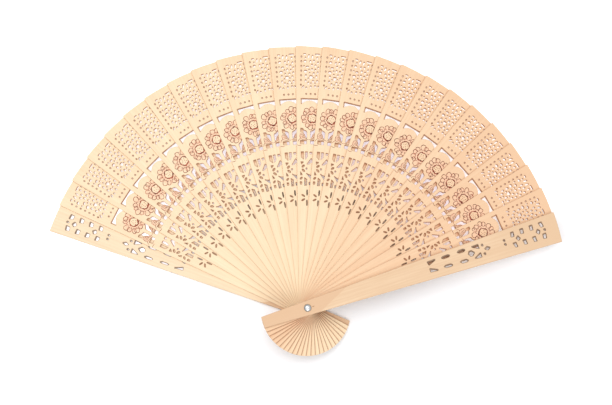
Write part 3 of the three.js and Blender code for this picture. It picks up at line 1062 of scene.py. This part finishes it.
def wood_base(name, light, dark, figure, flank_shade, finish, blades):
    """Wood of a blade up to its pores. It is darker on the later blades of the stack, a painted shade where the
    light falls off, and on those towards their rim. Painted shade also lies in a strip along its flanks, most on
    the tail, and in its crevices by ambient occlusion. Returns the material, its tree, shader, colour, place and
    the mask of cuts."""
    material, tree, shader = new_material(name)
    place = add(tree, "ShaderNodeAttribute", attribute_name=PLACE)["Vector"]
    cut = add(tree, "ShaderNodeAttribute", attribute_name=CUT)["Fac"]
    grain = add(tree, "ShaderNodeGroup", {"Place": place, "Figure": figure}, node_tree=wood_grain())
    edge = add(tree, "ShaderNodeGroup", {"Place": place, "Cut": cut}, node_tree=cut_edge())
    parts = split(tree, place)
    # Painted shade: darker on the later blades of the stack, where the light falls off; on those, also darker
    # towards the rim
    falloff_shade = in_stack(tree, parts, 0.42, 0.85, 0.0, 0.65)
    outer = spread(tree, parts["Y"], *OUTER_SPAN, 0.0, 0.22)
    falloff_shade = sum_up(tree, "MULTIPLY_ADD", outer, in_stack(tree, parts, 0.2, 0.45), falloff_shade)
    share = sum_up(tree, "MULTIPLY_ADD", grain["Tone"], GRAIN_SHARE, falloff_shade)
    tone = blend(tree, share, rgba(light), rgba(dark))
    tone = blend(tree, times(tree, grain["Pores"], PORE_SHARE), tone, rgba(finish.fleck_tone))
    # Painted shade: a dark strip along each flank, most on the tail, where the next blade's edge shades it
    half_width, flank = taper(blades)
    flank_at = sum_up(tree, "MULTIPLY_ADD", parts["Y"], flank, half_width)
    from_flank = sum_up(tree, "SUBTRACT", flank_at, sum_up(tree, "ABSOLUTE", parts["X"]))
    strip = spread(tree, from_flank, *FLANK_SHADE_STRIP, flank_shade, 0.0)
    wall = spread(tree, cut, 0.7 * OUTLINE_BROWN_AND_SHADE, OUTLINE_BROWN_AND_SHADE, 1.0, FLANK_SHADE_WALL)
    tail = spread(tree, parts["Y"], *TAIL_SPAN, 1.0, 0.06)
    tone = blend(tree, times(tree, strip, wall, tail), tone, rgba(finish.cut_and_shade_tone))
    # Painted shade in crevices and between blades by ambient occlusion, where the sticks are pierced and a little
    # on the tail
    pierced = spread(tree, parts["Y"], *PIERCED_SPAN)
    shade_zone = sum_up(tree, "MAXIMUM", pierced, times(tree, tail, TAIL_SHADE))
    open_to = add(tree, "ShaderNodeAmbientOcclusion", {"Distance": finish.painted_shade_reach}, samples=6)["AO"]
    crevice = spread(tree, open_to, 0.2, 0.75, 1.0, 0.0)
    painted_shade = times(tree, crevice, shade_zone, in_stack(tree, parts, 0.1, 0.5, 0.4, 0.62))
    tone = blend(tree, painted_shade, tone, rgba(finish.painted_shade_tone))
    browned_and_shaded = times(tree, edge["Browned"], in_stack(tree, parts, 0.1, 0.5, 0.95, 1.0))
    give(tree, shader, {
        "Roughness": spread(tree, grain["Tone"], 0.0, 1.0, 0.5, 0.66),
        "Normal": relief(tree, grain["Height"], 0.35, 0.05),
        "Specular IOR Level": 0.3,
    })
    return material, tree, shader, tone, place, browned_and_shaded


def flower_blush(tree, place, print_):
    """Patchy blush between the ring and the petals' ends of the printed flower."""
    out = from_point(tree, place, (print_.flower_across / MM, print_.flower_along / MM))
    disc = print_.disc_radius / MM
    reach = (print_.petal_centre + print_.petal_radius) / MM
    rising = spread(tree, out, disc - 0.4, disc + 0.5)
    falling = spread(tree, out, reach - 1.6, reach, 1.0, 0.0)
    patch = spread(tree, streaks(tree, place, (0.6, 0.6, 1), 2.0), 0.3, 0.65, 0.4, 1.0)
    return times(tree, rising, falling, patch, 0.8)


def leaf_blush(tree, parts):
    """Blush on the two leaves, which mirror each other about their axis."""
    aside = sum_up(tree, "ABSOLUTE", sum_up(tree, "SUBTRACT", parts["X"], LEAF_AXIS))
    halved = add(tree, "ShaderNodeCombineXYZ", {0: aside, 1: parts["Y"]})[0]
    return spread(tree, from_point(tree, halved, LEAF_MIDDLE), 1.4, 2.6, 0.55, 0.0)


def covered_shade(tree, parts, blades):
    """Painted shadow on the part of a stick that the next one covers and that shows through its openings, more on
    later sticks and at the fret, with crests by the cosine of the place along the stick, under the upper ends of
    those openings."""
    half_width, flank = taper(blades)
    fall = flank - math.tan(math.radians(TURNS["front_guard"] / len(BLADES[1:])))
    under = sum_up(tree, "MULTIPLY_ADD", parts["Y"], fall, parts["X"])
    covered = spread(tree, under, 0.5 - half_width, 1.3 - half_width)
    covered = times(tree, covered, spread(tree, parts["Y"], *COVERED_SPAN))
    pace = 2 * math.pi / SHADE_PITCH
    wave = sum_up(tree, "MULTIPLY_ADD", parts["Y"], pace, -pace * SHADE_CREST)
    crest = spread(tree, sum_up(tree, "COSINE", wave), 0.35, 0.95, 0.0, 0.42)
    crest = times(tree, crest, spread(tree, parts["Y"], *CRESTED_SPAN))
    later = in_stack(tree, parts, 0.1, 0.9, 0.1, 0.36)
    fret = spread(tree, parts["Y"], *FRET_END_SPAN, 1.0, 0.4)
    return times(tree, covered, sum_up(tree, "MULTIPLY_ADD", later, fret, crest))


def petal_shade(tree, place, parts, piercing):
    """Where the cuts of the inmost petals get painted deep shade: from their axis to the right, and on later
    sticks.
    """
    out = from_point(tree, place, (piercing.petal_axis / MM, piercing.petal_along / MM))
    reach = piercing.petal_outer / MM
    near = spread(tree, out, reach + 0.8, reach + 1.4, 1.0, 0.0)
    right = spread(tree, parts["X"], -2.6, -1.9)
    return times(tree, near, right, in_stack(tree, parts, 0.1, 0.4, 0.3, 1.0))


def stick_wood(finish, print_, blades, piercing):
    """Pale wood of the sticks, with a blush inside the printed flower and its leaves, painted shadow where the
    next stick lies over it, and brown cuts with painted shadow, darkest, as painted deep shade, at the inmost
    petals."""
    material, tree, shader, tone, place, browned_and_shaded = wood_base(
        "Stick Wood", finish.stick_light, finish.stick_dark, STICK_FIGURE, STICK_FLANK_SHADE, finish, blades
    )
    parts = split(tree, place)
    tone = blend(tree, flower_blush(tree, place, print_), tone, rgba(finish.blush_tone))
    tone = blend(tree, leaf_blush(tree, parts), tone, rgba(finish.blush_tone))
    tone = blend(tree, covered_shade(tree, parts, blades), tone, rgba(finish.painted_shade_tone))
    # Painted deep shade in the cuts of the inmost petals, from their axis to the right
    shade = petal_shade(tree, place, parts, piercing)
    cut_and_shade_tone = blend(tree, shade, rgba(finish.cut_and_shade_tone), rgba(finish.petal_deep_shade))
    browned_and_shaded = times(tree, browned_and_shaded, STICK_BROWNED_AND_SHADED)
    give(tree, shader, {"Base Color": blend(tree, browned_and_shaded, tone, cut_and_shade_tone)})
    return material


def guard_wood(finish, blades):
    """Wood of the guards: stronger ring figure, a pinker handle past a slanting wavering line, a dark mark by
    the rivet, and brown cuts with painted shadow on their shadow side."""
    material, tree, shader, tone, place, browned_and_shaded = wood_base(
        "Guard Wood", finish.guard_light, finish.guard_dark, GUARD_FIGURE, GUARD_FLANK_SHADE, finish, blades
    )
    parts = split(tree, place)
    line = sum_up(tree, "MULTIPLY_ADD", parts["X"], HANDLE_SLANT, parts["Y"])
    waver = times(tree, streaks(tree, place, (0.15, 0.1, 1), 2.0), 2.0)
    handle = spread(tree, sum_up(tree, "ADD", line, waver), *HANDLE_SPAN, 1.0, 0.0)
    tone = blend(tree, times(tree, handle, 0.9), tone, rgba(finish.handle_tone))
    mark = from_point(tree, place, RIVET_MARK, (2.6, 0.9))
    tone = blend(tree, spread(tree, mark, 0.4, 1.0, 0.75, 0.0), tone, rgba(finish.cut_and_shade_tone))
    browned_and_shaded = times(tree, browned_and_shaded, GUARD_BROWNED_AND_SHADED)
    give(tree, shader, {"Base Color": blend(tree, browned_and_shaded, tone, rgba(finish.guard_cut_and_shade))})
    return material


def flower_ink(finish):
    """Brown printing ink that lies thick and thin, lighter towards the left of the fan, and is matt."""
    material, tree, shader = new_material("Flower Ink")
    place = add(tree, "ShaderNodeTexCoord")["Object"]
    patch = streaks(tree, place, (900, 900, 900), 3.0)
    side = spread(tree, split(tree, place)["X"], -0.12, 0.12, 0.15, -0.2)
    thin = sum_up(tree, "ADD", spread(tree, patch, 0.41, 0.61), side)
    give(tree, shader, {
        "Base Color": blend(tree, thin, rgba(finish.ink_dark), rgba(finish.ink_thin)),
        "Roughness": spread(tree, patch, 0.3, 0.7, 0.6, 0.85),
        "Normal": relief(tree, patch, 0.3, 0.02),
        "Specular IOR Level": 0.2,
    })
    return material


def rivet_steel(finish, rivet):
    """Polished steel with fine scratches, and tarnish that gathers round the rim of the head."""
    material, tree, shader = new_material("Rivet Steel")
    place = add(tree, "ShaderNodeTexCoord")["Object"]
    scratch = streaks(tree, place, (900, 5200, 900), 4.0, 0.6)
    cloud = streaks(tree, place, (600, 600, 600), 3.0)
    rim = spread(tree, from_point(tree, place), 0.72 * rivet.head_radius, rivet.head_radius)
    dull = times(tree, rim, spread(tree, cloud, 0.25, 0.7, 0.55, 1.0))
    scuffed = spread(tree, scratch, 0.35, 0.7, 0.1, 0.24)
    give(tree, shader, {
        "Base Color": blend(tree, dull, rgba(finish.steel_bright), rgba(finish.steel_dull)),
        "Roughness": sum_up(tree, "ADD", scuffed, times(tree, dull, 0.2)),
        "Normal": relief(tree, scratch, 0.12, 0.02),
        "Metallic": 1.0,
    })
    return material


def floor_glow(tree, place, stage):
    """Painted light on the floor, a glow that is no lamp. Real sticks droop on to the table, and light comes in
    under the rim, so the floor is painted lit through the openings from the fret outwards, less to the right,
    where the stack is higher, and beside the fan it lightens the shadow, most by the guards' tips. Only the camera
    sees it."""
    parts = split(tree, place)
    out = from_point(tree, place)
    glow = UNLIT
    for name, low, high in GLOW_BANDS:
        glow = blend(tree, spread(tree, out, low * MM, high * MM), glow, rgba(getattr(stage, name)))
    left = spread(tree, parts["X"], -0.12, -0.02, 0.55, 0.0)
    glow = blend(tree, left, glow, rgba(stage.glow_left))
    net_from, net_full = NET_GLOW
    glow = blend(tree, spread(tree, out, net_from * MM, net_full * MM), glow, rgba(stage.glow_net))
    rise = sum_up(tree, "DIVIDE", parts["Y"], out)
    left = spread(tree, parts["X"], -0.02, 0.02, 1.0, 0.0)
    high = spread(tree, rise, *RIGHT_GUARD_RISE)
    glow = blend(tree, sum_up(tree, "MAXIMUM", left, high), UNLIT, glow)
    beside = blend(tree, spread(tree, out, 0.06, 0.17), rgba(stage.glow_round), rgba(stage.glow_tip))
    glow = blend(tree, spread(tree, rise, *FAN_EDGE_RISE), beside, glow)
    seen = add(tree, "ShaderNodeLightPath")["Is Camera Ray"]
    share = times(tree, seen, spread(tree, parts["X"], 0.0, 0.15, 1.0, 0.85))
    return blend(tree, share, UNLIT, glow)


def floor_paint(stage):
    """Pale floor with a faint mottle, and painted light glowing under the fan and beside it."""
    material, tree, shader = new_material("Pale Floor")
    place = add(tree, "ShaderNodeTexCoord")["Object"]
    mottle = spread(tree, streaks(tree, place, (9, 9, 9), 3.0), 0.3, 0.7)
    darker = tuple(FLOOR_MOTTLE * value for value in stage.floor_tone)
    give(tree, shader, {
        "Base Color": blend(tree, mottle, rgba(stage.floor_tone), rgba(darker)),
        "Emission Color": floor_glow(tree, place, stage),
        "Emission Strength": 1.0,
        "Roughness": 0.8,
        "Specular IOR Level": 0.1,
    })
    return material


def soft_sky(stage):
    """Surrounding light that brightens evenly from the horizon to overhead."""
    world = bpy.data.worlds.new("Soft Sky")
    world.use_nodes = True
    tree = world.node_tree
    rise = split(tree, add(tree, "ShaderNodeTexCoord")["Generated"])["Z"]
    tone = blend(tree, spread(tree, rise, 0.05, 0.6), rgba(stage.sky_low), rgba(stage.sky_high))
    give(tree, tree.nodes["Background"], {"Color": tone, "Strength": stage.sky_strength})
    bpy.context.scene.world = world


def hang_light(stage, name):
    """Round area light that points at the rivet."""
    light = bpy.data.objects.new(f"{name}_light", bpy.data.lights.new(f"{name}_light", "AREA"))
    light.data.shape = "DISK"
    light.data.size = getattr(stage, f"{name}_width")
    light.data.energy = getattr(stage, f"{name}_power")
    light.data.color = stage.light_tone
    light.location = getattr(stage, f"{name}_place")
    light.rotation_euler = (-light.location).to_track_quat("-Z", "Y").to_euler()
    bpy.context.scene.collection.objects.link(light)


def stand_camera(stage):
    """Camera above the open fan, a little to its front and left."""
    camera = bpy.data.objects.new("camera", bpy.data.cameras.new("camera"))
    camera.data.lens = stage.camera_lens
    camera.data.sensor_width = stage.camera_frame
    camera.location = stage.camera_place
    camera.rotation_euler = stage.camera_turn
    bpy.context.scene.collection.objects.link(camera)
    bpy.context.scene.camera = camera


class FAN_OT_sticks(bpy.types.Operator):
    """Build the pierced sticks in the places of the frame's sticks"""

    bl_idname = "fan.sticks"
    bl_label = "Build Sticks"

    def execute(self, context):
        scene = context.scene
        blades = scene.fan_blades
        openings = stick_openings(blades, scene.fan_piercing)
        thickness, edge = thickness_of(STICKS[0]), blades.stick_edge / MM
        solid = blade_solid(blade_outline(blades), openings, thickness, edge, STICK_SHADOW_SIDE)
        material = stick_wood(scene.fan_finish, scene.fan_print, blades, scene.fan_piercing)
        for node in STICKS:
            dress_blade(node, solid, material)
        return {"FINISHED"}


class FAN_OT_guards(bpy.types.Operator):
    """Build the two guards in the places of the frame's guards"""

    bl_idname = "fan.guards"
    bl_label = "Build Guards"

    def execute(self, context):
        scene = context.scene
        blades = scene.fan_blades
        openings = guard_openings(blades)
        outline, edge = blade_outline(blades), blades.guard_edge / MM
        material = guard_wood(scene.fan_finish, blades)
        for node in GUARDS:
            solid = blade_solid(outline, openings, thickness_of(node), edge, GUARD_SHADOW_SIDES[node])
            dress_blade(node, solid, material)
        return {"FINISHED"}


class FAN_OT_prints(bpy.types.Operator):
    """Print the flower and its leaves on every stick"""

    bl_idname = "fan.prints"
    bl_label = "Print Flowers"

    def execute(self, context):
        scene = context.scene
        leaves = leaf_strokes(scene.fan_print)
        material = flower_ink(scene.fan_finish)
        for serial, node in enumerate(STICKS):
            points, quads = joined([flower_strokes(scene.fan_print, serial), leaves])
            points = on_blade(unsteady(points, serial), node, thickness_of(node) * MM)
            piece = new_piece(f"{node}_print", points, [quads], material)
            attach(piece, BODIES[node])
        return {"FINISHED"}


class FAN_OT_rivet(bpy.types.Operator):
    """Turn the rivet in the place of the frame's rivet"""

    bl_idname = "fan.rivet"
    bl_label = "Build Rivet"

    def execute(self, context):
        scene = context.scene
        points, triangles, quads = rivet_solid(scene.fan_rivet)
        material = rivet_steel(scene.fan_finish, scene.fan_rivet)
        piece = new_piece("rivet_turned", points, [triangles, quads], material)
        piece.data.polygons.foreach_set("use_smooth", [True] * len(piece.data.polygons))
        piece.data.set_sharp_from_angle(angle=RIVET_SHARP)
        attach(piece, BODIES["rivet"])
        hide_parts("rivet")
        return {"FINISHED"}


class FAN_OT_stage(bpy.types.Operator):
    """Lay the floor, hang the lights and stand the camera"""

    bl_idname = "fan.stage"
    bl_label = "Set Stage"

    def execute(self, context):
        stage = context.scene.fan_stage
        half = stage.floor_width / 2
        level = CAD_BOX[0].z - stage.floor_drop
        square = half * np.array([[-1, -1], [1, -1], [1, 1], [-1, 1]])
        corners = np.column_stack([square, np.full(len(square), level)])
        floor = new_piece("floor", corners, [np.array([[0, 1, 2, 3]])], floor_paint(stage))
        soft_sky(stage)
        for name in ("key", "fill"):
            hang_light(stage, name)
        stand_camera(stage)
        context.scene.view_settings.view_transform = "Standard"
        return {"FINISHED"}


class FAN_PT_panel(bpy.types.Panel):
    """Lists what builds the fan and its settings"""

    bl_idname = "FAN_PT_panel"
    bl_label = "Hand Fan"
    bl_space_type = "VIEW_3D"
    bl_region_type = "UI"
    bl_category = "Hand Fan"

    def draw(self, context):
        for operator in OPERATORS:
            self.layout.operator(operator.bl_idname)
        for name, group in SETTINGS.items():
            box = self.layout.box()
            box.label(text=group.__doc__)
            for entry in group.__annotations__:
                box.prop(getattr(context.scene, name), entry)


SETTINGS = {
    "fan_blades": FanBlades,
    "fan_piercing": FanPiercing,
    "fan_print": FanPrint,
    "fan_rivet": FanRivet,
    "fan_finish": FanFinish,
    "fan_stage": FanStage,
}
OPERATORS = (FAN_OT_stage, FAN_OT_sticks, FAN_OT_guards, FAN_OT_prints, FAN_OT_rivet)


def register():
    for group in SETTINGS.values():
        bpy.utils.register_class(group)
    for operator in (*OPERATORS, FAN_PT_panel):
        bpy.utils.register_class(operator)
    for name, group in SETTINGS.items():
        setattr(bpy.types.Scene, name, PointerProperty(type=group))


def unregister():
    for name in SETTINGS:
        delattr(bpy.types.Scene, name)
    for kind in (FAN_PT_panel, *reversed(OPERATORS), *SETTINGS.values()):
        bpy.utils.unregister_class(kind)


def main():
    register()
    bpy.ops.fan.stage()
    bpy.ops.fan.sticks()
    bpy.ops.fan.guards()
    bpy.ops.fan.prints()
    bpy.ops.fan.rivet()


if __name__ == "__main__":
    main()
